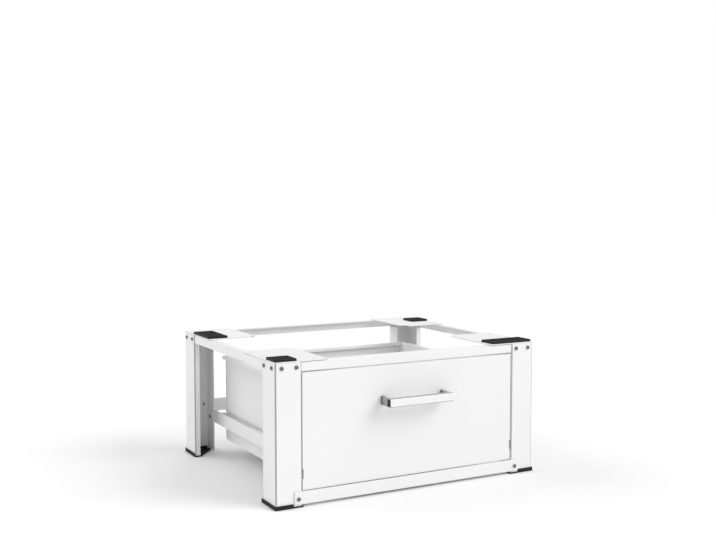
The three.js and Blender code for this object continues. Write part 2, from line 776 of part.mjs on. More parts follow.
// ---------------------------------------------------------------- assembly
const frame = new THREE.Group();
for (const corner of corners) {
  frame.add(leg(corner), boot(corner), cornerPlate(corner), pad(corner));
}
for (const side of ["front", "rear", "left", "right"]) {
  frame.add(topRail(side));
}
frame.add(
  crossRail("lower_front_rail", false, frontRailInset, frontRailBottom, frontRailHeight,
    frontRailBoltX, frontRailBoltZ),
  crossRail("rear_cross_rail", true, rearRailInset, rearRailBottom, rearRailHeight,
    rearRailBoltX, rearRailBoltZ),
);

const boltShape = boltBody();
for (const { name, right, rear, atX, atY } of corners) {
  const face = rear ? "rear" : "front";
  const flank = right ? "right" : "left";
  faceBoltX.forEach((x, i) => {
    frame.add(bolt(`bolt_${name}_face_${i + 1}`, boltShape, face, [atX(x), atY(-seatGap), topBoltZ]));
  });
  sideBoltY.forEach((y, i) => {
    frame.add(bolt(`bolt_${name}_side_${i + 1}`, boltShape, flank, [atX(-seatGap), atY(y), topBoltZ]));
  });
  const proud = -(2 * seatGap + frameSheet);
  const crossPlace = [
    atX(rear ? rearRailBoltX : frontRailBoltX),
    atY(proud),
    rear ? rearRailBoltZ : frontRailBoltZ,
  ];
  frame.add(bolt(`bolt_${name}_cross`, boltShape, face, crossPlace));
}

const drawer = new THREE.Group();
drawer.add(drawerFront(), drawerRear(), drawerBottom(), handle());
for (const side of sides) {
  const { fixed, middle, drawer: moving } = slideSections;
  frame.add(
    runner(side),
    slideMember(side, "fixed", fixed, slideStart, slideLength, halfSlideSheet),
    slideMember(side, "middle", middle, memberStart, memberLength, middleWebU),
    ballCage(side, "outer", outerCageWebU, outerCageEndU, outerBallV - cageDip, outerBallU, outerBallV),
    ballCage(side, "inner", innerCageWebU, innerCageEndU, innerBallV, innerBallU, innerBallV),
  );
  drawer.add(
    drawerSide(side),
    slideMember(side, "drawer", moving, memberStart, memberLength, drawerWebU),
  );
}

const pedestal = new THREE.Group();
pedestal.add(frame, drawer);
pedestal.position.set(-width / 2, -(handleFront + rearmost) / 2, 0);

export default pedestal;
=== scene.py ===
"""White sheet-steel pedestal with a storage drawer on ball slides: finer pieces and materials.

Pieces are built in millimetres in the frame's own axes (+X right, +Y to the rear, +Z up) and
scaled to metres when they are finished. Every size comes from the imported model's boxes or is a
named value below.
"""

import math

import bmesh
import bpy
from mathutils import Euler, Matrix, Vector


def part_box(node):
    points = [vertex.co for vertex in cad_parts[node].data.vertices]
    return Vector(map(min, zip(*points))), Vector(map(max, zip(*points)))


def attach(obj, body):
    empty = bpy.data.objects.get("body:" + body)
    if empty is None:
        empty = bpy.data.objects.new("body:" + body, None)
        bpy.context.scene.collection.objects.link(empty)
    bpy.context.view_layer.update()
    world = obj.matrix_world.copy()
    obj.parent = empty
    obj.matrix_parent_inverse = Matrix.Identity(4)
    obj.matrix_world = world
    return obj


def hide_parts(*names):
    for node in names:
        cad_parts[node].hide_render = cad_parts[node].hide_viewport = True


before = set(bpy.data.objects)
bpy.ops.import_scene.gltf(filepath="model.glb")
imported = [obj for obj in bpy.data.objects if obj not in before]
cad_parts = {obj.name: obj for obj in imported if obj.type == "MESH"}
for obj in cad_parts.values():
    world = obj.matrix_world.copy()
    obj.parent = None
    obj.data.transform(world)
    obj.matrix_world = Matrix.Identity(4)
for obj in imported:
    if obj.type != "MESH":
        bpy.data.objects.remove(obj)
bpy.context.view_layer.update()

MM = 0.001

# ----- sheet-metal values, mm
FRAME_SHEET = 2.0
DRAWER_SHEET = 1.25
SLIDE_SHEET = 1.0
BEND = 1.0
BEND_STEPS = 6
SEAT_GAP = 0.25
EDGE = 0.22  # broken edge of the painted frame sheet
THIN_EDGE = 0.15  # the same of the drawer's thinner sheet
ROUND_STEPS = 32
BEYOND = 5.0  # how far a cutting tool reaches past what it cuts
HAIR = 0.01  # keeps points and faces apart

SIDES = ("left", "right")
CORNERS = [f"{y}_{x}" for y in ("front", "rear") for x in SIDES]


def box_mm(node):
    """Lowest and highest corner of a CAD node in millimetres."""
    low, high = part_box(node)
    return low / MM, high / MM


FRAME_LEFT = box_mm("leg_front_left")[0].x
FRAME_RIGHT = box_mm("leg_front_right")[1].x
FRAME_FRONT = box_mm("leg_front_left")[0].y
FRAME_REAR = box_mm("leg_rear_left")[1].y
MIDDLE_X = (FRAME_LEFT + FRAME_RIGHT) / 2


# ----- camera, light and floor
PHOTO_WIDTH = 716
FOCAL_PIXELS = 1010.5
SENSOR = 36.0
CAMERA_PLACE = (-1.1011, -2.0479, 0.6151)  # metres
CAMERA_TURN = 28.384  # degrees to the right
CAMERA_PITCH = 4.058  # degrees down

ROOM_LIGHT = 0.64
# name, turn from the front towards the right and height, both in degrees, and strength
BROAD_LIGHTS = (
    ("front_right_light", 45, 38, 1.47),
    ("rear_left_light", -130, 38, 0.80),
)
LIGHT_SPREAD = 40  # degrees
FLOOR_RADIUS = 40  # metres
FLOOR_DROP = 0.0002  # metres under the boots


def show(thing):
    bpy.context.scene.collection.objects.link(thing)


def make_camera():
    data = bpy.data.cameras.new("camera")
    data.sensor_width = SENSOR
    data.lens = FOCAL_PIXELS / PHOTO_WIDTH * SENSOR
    camera = bpy.data.objects.new("camera", data)
    camera.location = CAMERA_PLACE
    tilt = math.radians(90 - CAMERA_PITCH)
    camera.rotation_euler = Euler((tilt, 0, -math.radians(CAMERA_TURN)))
    show(camera)
    bpy.context.scene.camera = camera


def soft_light(name, turn, rise, strength):
    data = bpy.data.lights.new(name, "SUN")
    data.energy = strength
    data.angle = math.radians(LIGHT_SPREAD)
    light = bpy.data.objects.new(name, data)
    light.rotation_euler = Euler((math.radians(90 - rise), 0, math.radians(turn)))
    show(light)


def make_studio():
    """Two broad lights, at the front right and the rear left, in a pale room."""
    world = bpy.data.worlds.new("studio")
    bpy.context.scene.world = world
    world.use_nodes = True
    nodes = world.node_tree.nodes
    links = world.node_tree.links
    room = nodes["Background"]
    room.inputs["Color"].default_value = grey(1.0)
    room.inputs["Strength"].default_value = ROOM_LIGHT
    backdrop = nodes.new("ShaderNodeBackground")
    backdrop.inputs["Color"].default_value = grey(1.0)
    seen = nodes.new("ShaderNodeLightPath")
    choice = nodes.new("ShaderNodeMixShader")
    links.new(seen.outputs["Is Camera Ray"], choice.inputs["Fac"])
    links.new(room.outputs["Background"], choice.inputs[1])
    links.new(backdrop.outputs["Background"], choice.inputs[2])
    links.new(choice.outputs["Shader"], nodes["World Output"].inputs["Surface"])
    for settings in BROAD_LIGHTS:
        soft_light(*settings)
    bpy.context.scene.view_settings.view_transform = "Standard"


def make_floor():
    shape = bmesh.new()
    bmesh.ops.create_circle(shape, cap_ends=True, radius=FLOOR_RADIUS, segments=64)
    data = bpy.data.meshes.new("floor")
    shape.to_mesh(data)
    shape.free()
    floor = bpy.data.objects.new("floor", data)
    floor.location.z = -FLOOR_DROP
    show(floor)
    floor.data.materials.append(floor_material())


# ----- materials
class Shader:
    """A material's node tree, with short calls to add and link nodes."""

    def __init__(self, name):
        self.material = bpy.data.materials.new(name)
        self.material.use_nodes = True
        self.tree = self.material.node_tree
        self.surface = self.tree.nodes["Principled BSDF"]
        self.place = self.add("ShaderNodeTexCoord").outputs["Object"]

    def add(self, kind, **inputs):
        node = self.tree.nodes.new(kind)
        for key, value in inputs.items():
            self.put(node, key.replace("_", " "), value)
        return node

    def put(self, node, key, value):
        socket = node.inputs[key]
        if isinstance(value, bpy.types.NodeSocket):
            self.tree.links.new(value, socket)
        else:
            socket.default_value = value

    def noise(self, scale, detail=2.0, roughness=0.5, stretch=None):
        place = self.place
        if stretch:
            place = self.add("ShaderNodeMapping", Vector=place, Scale=stretch).outputs["Vector"]
        node = self.add("ShaderNodeTexNoise", Vector=place, Scale=scale, Detail=detail,
                        Roughness=roughness)
        return node.outputs["Fac"]

    def spread(self, value, low=0.0, high=1.0, start=0.3, end=0.7):
        """Turns a value from start to end into one from low to high."""
        node = self.add("ShaderNodeMapRange", Value=value)
        node.inputs["From Min"].default_value = start
        node.inputs["From Max"].default_value = end
        node.inputs["To Min"].default_value = low
        node.inputs["To Max"].default_value = high
        return node.outputs["Result"]

    def blend(self, factor, first, second):
        """The first colour where the factor is 0 and the second where it is 1."""
        node = self.tree.nodes.new("ShaderNodeMix")
        node.data_type = "RGBA"
        self.put(node, 0, factor)
        self.put(node, 6, first)
        self.put(node, 7, second)
        return node.outputs[2]

    def compute(self, operation, first, second=0.0):
        node = self.tree.nodes.new("ShaderNodeMath")
        node.operation = operation
        self.put(node, 0, first)
        self.put(node, 1, second)
        return node.outputs[0]

    def toward(self, axis):
        """How far the surface faces along an axis of the model: -1 to 1."""
        normal = self.add("ShaderNodeTexCoord").outputs["Normal"]
        return self.add("ShaderNodeSeparateXYZ", Vector=normal).outputs[axis]

    def facing(self, axis):
        """How far the surface faces along an axis, either way: 0 to 1."""
        return self.compute("ABSOLUTE", self.toward(axis))

    def openness(self, distance):
        """How open the surroundings are within a distance in metres: 0 to 1."""
        node = self.add("ShaderNodeAmbientOcclusion", Distance=distance)
        node.samples = 8
        return node.outputs["AO"]

    def bump(self, height, strength, distance, under=None):
        node = self.add("ShaderNodeBump", Height=height, Strength=strength, Distance=distance)
        if under:
            self.put(node, "Normal", under)
        return node.outputs["Normal"]

    def finish(self, **inputs):
        for key, value in inputs.items():
            self.put(self.surface, key.replace("_", " "), value)
        return self.material


def grey(level):
    return (level, level, level, 1)


def floor_material():
    shader = Shader("floor_paper")
    cloud = shader.spread(shader.noise(3.0, 3.0))
    colour = shader.blend(cloud, grey(0.955), grey(0.965))
    return shader.finish(Base_Color=colour, Roughness=0.9, Specular_IOR_Level=0.2)


def white_paint():
    """Powder coat: fine orange peel, uneven tone, with painted shade in tight gaps and along
    upright folds.
    """
    shader = Shader("white_powder_coat")
    cloud = shader.spread(shader.noise(9.0, 4.0))
    speck = shader.spread(shader.noise(2600.0, 1.0), 0.0, 1.0, 0.62, 0.72)
    tone = shader.blend(cloud, grey(0.842), grey(0.856))
    colour = shader.blend(speck, tone, grey(0.80))
    openness = shader.openness(0.004)
    # painted shade: surfaces turning between X- and Y-facing, out in the open, are greyed along
    # upright folds
    turning = shader.compute("MULTIPLY", shader.facing("X"), shader.facing("Y"))
    painted_fold_shade = shader.spread(turning, 0.0, 1.0, 0.02, 0.18)
    outside = shader.spread(openness, 0.0, 1.0, 0.75, 0.95)
    colour = shader.blend(shader.compute("MULTIPLY", painted_fold_shade, outside), colour, grey(0.40))
    # painted shade: tight gaps and crevices, with other surfaces within 4 mm, are darkened towards
    # grey 0.2
    clear = shader.spread(openness, 0.0, 1.0, 0.12, 0.50)
    colour = shader.blend(clear, grey(0.2), colour)
    gloss = shader.spread(shader.noise(60.0, 3.0), 0.54, 0.64)
    peel = shader.bump(shader.noise(620.0, 2.0, 0.45), 0.35, 0.00006)
    grain = shader.bump(shader.noise(3200.0, 1.0), 0.12, 0.00002, peel)
    return shader.finish(Base_Color=colour, Roughness=gloss, Normal=grain, Specular_IOR_Level=0.25)


def black_rubber():
    """Moulded rubber: matt, with a fine grain and a dusty bloom."""
    shader = Shader("black_moulded_rubber")
    bloom = shader.spread(shader.noise(45.0, 5.0, 0.6))
    colour = shader.blend(bloom, (0.007, 0.007, 0.0075, 1), (0.016, 0.016, 0.0165, 1))
    dull = shader.spread(shader.noise(120.0, 3.0), 0.55, 0.75)
    grain = shader.bump(shader.noise(2400.0, 2.0), 0.5, 0.00005)
    return shader.finish(Base_Color=colour, Roughness=dull, Normal=grain, Specular_IOR_Level=0.3)


def black_plastic():
    """Injection-moulded end cap: fine spark-eroded grain."""
    shader = Shader("black_moulded_plastic")
    cloud = shader.spread(shader.noise(80.0, 3.0))
    colour = shader.blend(cloud, (0.010, 0.010, 0.011, 1), (0.016, 0.016, 0.017, 1))
    gloss = shader.spread(shader.noise(300.0, 2.0), 0.34, 0.48)
    grain = shader.bump(shader.noise(3600.0, 1.0), 0.3, 0.00003)
    return shader.finish(Base_Color=colour, Roughness=gloss, Normal=grain, Specular_IOR_Level=0.3)


def zinc_steel():
    """Rolled and zinc-plated strip: lengthwise draw marks and a faintly mottled plating."""
    shader = Shader("zinc_plated_strip")
    drawn = shader.noise(1.0, 3.0, 0.6, (1500.0, 14.0, 1500.0))
    mottle = shader.spread(shader.noise(130.0, 4.0))
    colour = shader.blend(mottle, (0.82, 0.825, 0.835, 1), (0.90, 0.905, 0.91, 1))
    gloss = shader.spread(drawn, 0.2, 0.36)
    marks = shader.bump(drawn, 0.25, 0.00003)
    return shader.finish(Base_Color=colour, Metallic=1.0, Roughness=gloss, Normal=marks)


def bolt_steel():
    """Grey plated bolt heads with a fine satin from the tumbling barrel."""
    shader = Shader("grey_plated_bolt")
    mottle = shader.spread(shader.noise(700.0, 3.0))
    colour = shader.blend(mottle, (0.16, 0.163, 0.17, 1), (0.26, 0.263, 0.27, 1))
    gloss = shader.spread(shader.noise(900.0, 2.0), 0.26, 0.42)
    grain = shader.bump(shader.noise(4000.0, 2.0), 0.25, 0.00002)
    return shader.finish(Base_Color=colour, Metallic=1.0, Roughness=gloss, Normal=grain)


def satin_metal():
    """Handle: a bright brushed face, with painted shade on its other sides, on its underside and at
    its feet.
    """
    shader = Shader("bright_brushed_bar")
    brushed = shader.noise(1.0, 3.0, 0.55, (9.0, 2600.0, 2600.0))
    cloud = shader.spread(shader.noise(30.0, 2.0))
    bright = shader.blend(cloud, grey(0.87), grey(0.90))
    # painted shade: sides that do not face along Y are painted darker grey than the front face
    front = shader.spread(shader.facing("Y"), 0.0, 1.0, 0.93, 0.99)
    colour = shader.blend(front, grey(0.43), bright)
    # painted shade on surfaces that face down
    below = shader.spread(shader.toward("Z"), 1.0, 0.0, -0.5, -0.1)
    colour = shader.blend(below, colour, grey(0.14))
    # painted shade at the posts' feet, near the drawer front
    painted_foot_shade = shader.spread(shader.openness(0.018), 0.0, 1.0, 0.6, 0.9)
    colour = shader.blend(painted_foot_shade, grey(0.15), colour)
    gloss = shader.spread(brushed, 0.2, 0.3)
    lines = shader.bump(brushed, 0.06, 0.00001)
    return shader.finish(Base_Color=colour, Metallic=1.0, Roughness=gloss, Normal=lines)


MAKERS = {
    "white_paint": white_paint,
    "black_rubber": black_rubber,
    "black_plastic": black_plastic,
    "zinc_steel": zinc_steel,
    "bolt_steel": bolt_steel,
    "satin_metal": satin_metal,
}
MATERIALS = {}
RECORD_SLOTS = {"black_plastic": "black_rubber"}  # where the record's slot has another name


def look(slot):
    """The material of a slot, made when it is first asked for."""
    if slot not in MATERIALS:
        MATERIALS[slot] = MAKERS[slot]()
    return MATERIALS[slot]


# ----- solids in millimetres
def solid(shape):
    """A temporary object from a bmesh, which it uses up."""
    bmesh.ops.recalc_face_normals(shape, faces=shape.faces)
    data = bpy.data.meshes.new("work")
    shape.to_mesh(data)
    shape.free()
    body = bpy.data.objects.new("work", data)
    show(body)
    return body


def discard(*bodies):
    for body in bodies:
        data = body.data
        bpy.data.objects.remove(body)
        bpy.data.meshes.remove(data)


def baked(body):
    """Applies the body's modifiers."""
    bpy.context.view_layer.update()
    graph = bpy.context.evaluated_depsgraph_get()
    data = bpy.data.meshes.new_from_object(body.evaluated_get(graph))
    body.modifiers.clear()
    old = body.data
    body.data = data
    bpy.data.meshes.remove(old)
    return body


def combined(body, tools, operation):
    for tool in tools:
        step = body.modifiers.new("step", "BOOLEAN")
        step.solver = "MANIFOLD"
        step.operation = operation
        step.object = tool
    baked(body)
    discard(*tools)
    return body


def cut(body, tools):
    return combined(body, tools, "DIFFERENCE")


def join(body, others):
    return combined(body, others, "UNION")


def softened(body, width, segments=2, angle=35.0):
    """Bevels every edge that is sharper than the angle, and applies it."""
    step = body.modifiers.new("edge", "BEVEL")
    step.width = width
    step.segments = segments
    step.limit_method = "ANGLE"
    step.angle_limit = math.radians(angle)
    step.use_clamp_overlap = False
    step.miter_outer = "MITER_ARC"
    return baked(body)


def together(bodies):
    """Puts bodies into one mesh without joining their surfaces."""
    shape = bmesh.new()
    for body in bodies:
        shape.from_mesh(body.data)
        discard(body)
    return solid(shape)


def copy_at(body, matrix):
    shape = bmesh.new()
    shape.from_mesh(body.data)
    bmesh.ops.transform(shape, matrix=matrix, verts=shape.verts)
    return solid(shape)


def folded(path, sheet, bend=BEND, steps=BEND_STEPS):
    """Outline of a folded sheet from its middle line, with a round bend at each corner."""
    points = [Vector(point) for point in path]
    ways = [(b - a).normalized() for a, b in zip(points, points[1:])]
    left, right = [], []

    def square(point, way):
        normal = Vector((-way.y, way.x)) * sheet / 2
        left.append(point + normal)
        right.append(point - normal)

    square(points[0], ways[0])
    for point, before, after in zip(points[1:], ways, ways[1:]):
        turn = math.atan2(before.x * after.y - before.y * after.x, before.dot(after))
        side = math.copysign(1, turn)
        radius = bend + sheet / 2
        start = point - before * (radius * math.tan(abs(turn) / 2))
        inward = Vector((-before.y, before.x)) * side
        for k in range(steps + 1):
            ray = Matrix.Rotation(turn * k / steps, 2) @ -inward
            left.append(start + inward * radius + ray * (radius - side * sheet / 2))
            right.append(start + inward * radius + ray * (radius + side * sheet / 2))
    square(points[-1], ways[-1])
    return left + right[::-1]


def rounded(a0, b0, a1, b1, radius, steps=6):
    """Rectangle with round corners."""
    outline = []
    for k, (a, b) in enumerate([(a1, b0), (a1, b1), (a0, b1), (a0, b0)]):
        centre_a = a - math.copysign(radius, a - (a0 + a1) / 2)
        centre_b = b - math.copysign(radius, b - (b0 + b1) / 2)
        for i in range(steps + 1):
            angle = math.radians(90) * (k - 1 + i / steps)
            outline.append((centre_a + radius * math.cos(angle),
                            centre_b + radius * math.sin(angle)))
    return outline


def prism(outline, axis, low, high):
    """Solid between two values of an axis; the outline has the other two axes in their order."""
    shape = bmesh.new()
    rings = []
    for value in (low, high):
        ring = []
        for a, b in outline:
            point = [a, b]
            point.insert("xyz".index(axis), value)
            ring.append(shape.verts.new(point))
        rings.append(ring)
    count = len(outline)
    for i in range(count):
        j = (i + 1) % count
        shape.faces.new((rings[0][i], rings[0][j], rings[1][j], rings[1][i]))
    shape.faces.new(rings[0][::-1])
    shape.faces.new(rings[1])
    return solid(shape)


def block(x, y, z):
    """Box between two places along each axis, in either order."""
    (x0, x1), (y0, y1), (z0, z1) = sorted(x), sorted(y), sorted(z)
    return prism([(x0, y0), (x1, y0), (x1, y1), (x0, y1)], "z", z0, z1)


def past(low, high):
    """A range that reaches past both ends of another."""
    return low - BEYOND, high + BEYOND


def turned(profile, steps=ROUND_STEPS):
    """Solid of revolution about Z from (radius, height) points that start and end on the axis."""
    shape = bmesh.new()
    angles = [2 * math.pi * i / steps for i in range(steps)]
    ways = [(math.cos(angle), math.sin(angle)) for angle in angles]
    rings = []
    for radius, height in profile:
        if radius == 0:
            rings.append([shape.verts.new((0, 0, height))])
            continue
        rings.append([shape.verts.new((radius * a, radius * b, height)) for a, b in ways])
    for low, high in zip(rings, rings[1:]):
        for i in range(steps):
            j = (i + 1) % steps
            below = [low[i % len(low)], low[j % len(low)]]
            above = [high[j % len(high)], high[i % len(high)]]
            shape.faces.new(list(dict.fromkeys(below + above)))
    return solid(shape)


def hexagon(flats):
    radius = flats / math.sqrt(3)
    angles = [math.radians(60 * i) for i in range(6)]
    return [(radius * math.cos(angle), radius * math.sin(angle)) for angle in angles]


# ----- finished pieces
def finish(body, name, slot, rides, nodes=(), smooth=35.0):
    """Scales a body to metres, gives it its name, material and shading, and attaches it."""
    body.name = name
    body.data.name = name
    body.data.transform(Matrix.Scale(MM, 4))
    for face in body.data.polygons:
        face.use_smooth = True
    body.data.set_sharp_from_angle(angle=math.radians(smooth))
    body.data.materials.clear()
    body.data.materials.append(look(slot))
    even = body.modifiers.new("even_shading", "WEIGHTED_NORMAL")
    even.keep_sharp = True
    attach(body, rides)
    if nodes:
        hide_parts(*nodes)
    RECORD_SLOTS.get(slot, slot)


def frame_sheet(body, node):
    """A folded sheet of the frame, with broken edges."""
    finish(softened(body, EDGE), f"{node}_folded", "white_paint", "frame", [node])


def drawer_sheet(body, node):
    """A folded sheet of the drawer, with broken edges."""
    finish(softened(body, THIN_EDGE, 1), f"{node}_folded", "white_paint", "drawer", [node])


# ----- fasteners
BOLT_RADIUS = 2.5
BOLT_LENGTH = 9.5
BOLT_CHAMFER = 0.5
THREAD_PITCH = 0.8
THREAD_DEPTH = 0.4
THREAD_END = 1.5  # from the bolt's seat
NECK = 1.2
HEAD_RADIUS = 4.25
HEAD_HEIGHT = 2.75
HEAD_EDGE = 0.15
HEAD_RIM = 0.6  # height of the upright rim under the dome
HEAD_CROWN = 2.5
SOCKET_FLATS = 3.0
SOCKET_DEPTH = 1.6
NUT_FLATS = 8.0
NUT_HEIGHT = 4.0
NUT_CHAMFER = 0.7
NUT_SINK = (0.4, 0.9)  # depth and width of the chamfer at the bore's upper end
NUT_SEAT = 4.5  # from the bolt's seat to the nut
THREAD_PLAY = 0.15
TOOL_OVER = 1.0  # how far a fastener's cutting tools reach past it
SCREW_STEPS = 24
STUB = 1.0  # shank of a screw or rivet that is kept behind its seat
RECESS_ARM = 0.22  # half the width of a cross recess's arm, as a share of its length

# radius and height of the heads
RUNNER_RIVET = (3.6, 1.3)
REAR_RIVET = (3.0, 0.9)
SIDE_SCREW = (3.2, 1.6)
FRONT_SCREW = (3.4, 1.7)
HANDLE_SCREW = (4.2, 2.2)
# radius of the heads and length of the screws
PLATE_SCREW = (3.2, 6.0)
SLIDE_SCREW = (2.15, 2.7)

# degrees and axis of the turn from up
FACING = {
    "front": (90, "X"), "rear": (-90, "X"), "left": (-90, "Y"), "right": (90, "Y"), "up": (0, "X"),
}


def aimed(facing, place):
    """Turns what points up to the given side, and moves it to its place."""
    turn, axis = FACING[facing]
    return Matrix.Translation(place) @ Matrix.Rotation(math.radians(turn), 4, axis)


def dome(outer, inner, low, high, steps=6):
    """Profile of a domed head, from its rim at the lower height to its flat at the upper one."""
    points = []
    for i in range(1, steps + 1):
        angle = i / steps * math.pi / 2
        points.append((inner + (outer - inner) * math.cos(angle),
                       low + (high - low) * math.sin(angle)))
    return points


def bolt_mesh():
    """Button-head bolt along +Z with its seat at zero, a hexagon socket and a threaded shank."""
    profile = [(0, -BOLT_LENGTH), (BOLT_RADIUS - BOLT_CHAMFER, -BOLT_LENGTH)]
    height = BOLT_CHAMFER - BOLT_LENGTH
    while height < -THREAD_END:
        profile.append((BOLT_RADIUS, height))
        profile.append((BOLT_RADIUS - THREAD_DEPTH, height + THREAD_PITCH / 2))
        height += THREAD_PITCH
    profile += [(BOLT_RADIUS, -NECK), (BOLT_RADIUS, 0), (HEAD_RADIUS - HEAD_EDGE, 0)]
    profile += [(HEAD_RADIUS, HEAD_EDGE), (HEAD_RADIUS, HEAD_RIM)]
    profile += [*dome(HEAD_RADIUS, HEAD_CROWN, HEAD_RIM, HEAD_HEIGHT, 7), (0, HEAD_HEIGHT)]
    socket = prism(hexagon(SOCKET_FLATS), "z", HEAD_HEIGHT - SOCKET_DEPTH, HEAD_HEIGHT + TOOL_OVER)
    return cut(turned(profile), [socket])


def nut_mesh():
    """Hexagon weld nut that stands on z = 0, with its bore and chamfered corners."""
    corner = NUT_FLATS / math.sqrt(3)
    foot, outside = corner - 0.5, corner + 0.3
    top = NUT_HEIGHT + HAIR
    cone = turned([
        (0, -TOOL_OVER), (foot, -TOOL_OVER), (outside, NUT_CHAMFER),
        (outside, NUT_HEIGHT - NUT_CHAMFER), (corner - NUT_CHAMFER, top), (0, top),
    ])
    body = combined(prism(hexagon(NUT_FLATS), "z", 0, NUT_HEIGHT), [cone], "INTERSECT")
    bore = BOLT_RADIUS + THREAD_PLAY
    sink_depth, sink_width = NUT_SINK
    over = NUT_HEIGHT + TOOL_OVER
    tool = turned([
        (0, -TOOL_OVER), (bore, -TOOL_OVER), (bore, NUT_HEIGHT - sink_depth),
        (BOLT_RADIUS + sink_width, over), (0, over),
    ])
    return cut(body, [tool])


def cross_recess(size, depth, top):
    """Tool for a cross-head recess under the given height."""
    arm = size * RECESS_ARM
    outline = []
    for a, b in ((1, 0), (0, 1), (-1, 0), (0, -1)):
        outline.append((a * size + b * arm, b * size - a * arm))
        outline.append((a * size - b * arm, b * size + a * arm))
        outline.append(((a - b) * arm, (a + b) * arm))
    return prism(outline, "z", top - depth, top + TOOL_OVER)


def screw_mesh(radius, height):
    """Pan-head screw seen from outside: a low dome with a cross recess, seated on z = 0."""
    shank, crown = radius * 0.5, radius * 0.45
    edge, rim = 0.1, height * 0.35
    profile = [(0, -STUB), (shank, -STUB), (shank, 0), (radius - edge, 0), (radius, edge)]
    profile += [(radius, rim), *dome(radius, crown, rim, height), (0, height)]
    return cut(turned(profile, SCREW_STEPS), [cross_recess(radius * 0.58, height * 0.7, height)])


def countersunk_mesh(radius, length):
    """Countersunk screw, its flat head just proud of z = 0."""
    core, neck, cone = radius * 0.4, radius * 0.5, radius * 0.7
    edge, proud, rim = 0.15, 0.12, (-0.1, 0.05)
    profile = [(0, -length), (core, -length), (neck, -cone), (radius, rim[0])]
    profile += [(radius, rim[1]), (radius - edge, proud), (0, proud)]
    return cut(turned(profile, SCREW_STEPS), [cross_recess(radius * 0.6, 1.2, proud)])


def rivet_mesh(radius, height):
    """Domed blind rivet with the small dimple left by its stem."""
    shank, crown, stem = radius * 0.5, radius * 0.38, radius * 0.3
    rim, dimple = height * 0.2, height * 0.62
    profile = [(0, -STUB), (shank, -STUB), (shank, 0), (radius, 0), (radius, rim)]
    profile += [*dome(radius, crown, rim, height), (stem, dimple), (0, dimple)]
    return turned(profile, SCREW_STEPS)


def group_of(template, name, rides, spots):
    """One zinc-plated piece of a fastener's copies at (facing, place) spots."""
    body = together([copy_at(template, aimed(facing, place)) for facing, place in spots])
    finish(body, name, "zinc_steel", rides)


def bolt_spot(node):
    """Which way a bolt's head faces and the point under the middle of the head."""
    low, high = box_mm(node)
    x, y, z = (low + high) / 2
    words = node.split("_")
    facing = words[2] if words[3] == "side" else words[1]
    seats = {
        "front": (x, low.y + HEAD_HEIGHT, z),
        "rear": (x, high.y - HEAD_HEIGHT, z),
        "left": (low.x + HEAD_HEIGHT, y, z),
        "right": (high.x - HEAD_HEIGHT, y, z),
    }
    return facing, seats[facing]


def make_bolts():
    """The frame's bolts, each a piece of its own, and each corner's weld nuts as one piece."""
    bolt = bolt_mesh()
    nut = nut_mesh()
    behind = Matrix.Translation((0, 0, -NUT_SEAT)) @ Matrix.Rotation(math.pi, 4, "X")
    for corner in CORNERS:
        nuts = []
        for ending in ("face_1", "face_2", "side_1", "side_2", "cross"):
            node = f"bolt_{corner}_{ending}"
            seat = aimed(*bolt_spot(node))
            name = f"{node}_socket_head"
            finish(copy_at(bolt, seat), name, "bolt_steel", "frame", [node])
            nuts.append(copy_at(nut, seat @ behind))
        finish(together(nuts), f"weld_nuts_{corner}", "white_paint", "frame")
    discard(bolt, nut)


# ----- frame
class Corner:
    """A corner of the frame: x and y turn distances from its outer faces into places."""

    def __init__(self, name):
        self.name = name
        self.right = name.endswith("right")
        self.rear = name.startswith("rear")

    def x(self, distance):
        return FRAME_RIGHT - distance if self.right else FRAME_LEFT + distance

    def y(self, distance):
        return FRAME_REAR - distance if self.rear else FRAME_FRONT + distance

    def outline(self, points):
        return [(self.x(a), self.y(b)) for a, b in points]

    def block(self, x, y, z):
        return block([self.x(v) for v in x], [self.y(v) for v in y], z)


LEG_LIP = 13.0
LEG_INNER = 41.0
RAIL_DROP_GAP = 1.0  # from a top rail's lower edge to the legs' notches


def make_leg(corner):
    node = f"leg_{corner.name}"
    low, high = box_mm(node)
    face, side = (high - low).xy
    half = FRAME_SHEET / 2
    path = corner.outline([
        (LEG_LIP, side - half), (half, side - half), (half, half),
        (face - half, half), (face - half, LEG_INNER),
    ])
    body = prism(folded(path, FRAME_SHEET), "z", low.z, high.z)
    notch = (box_mm("top_rail_front")[0].z - RAIL_DROP_GAP, high.z + BEYOND)
    tools = [
        corner.block((FRAME_SHEET, LEG_LIP + BEYOND), (side / 2, side + BEYOND), notch),
        corner.block((face / 2, face + BEYOND), (FRAME_SHEET, LEG_INNER + BEYOND), notch),
    ]
    frame_sheet(cut(body, tools), node)


BOOT_BASE = 2.5
BOOT_WALL = 1.75
BOOT_EDGE = 2.0  # how far the base reaches past the leg's ends
BOOT_HEEL = 12.0
BOOT_ROUND = 0.55


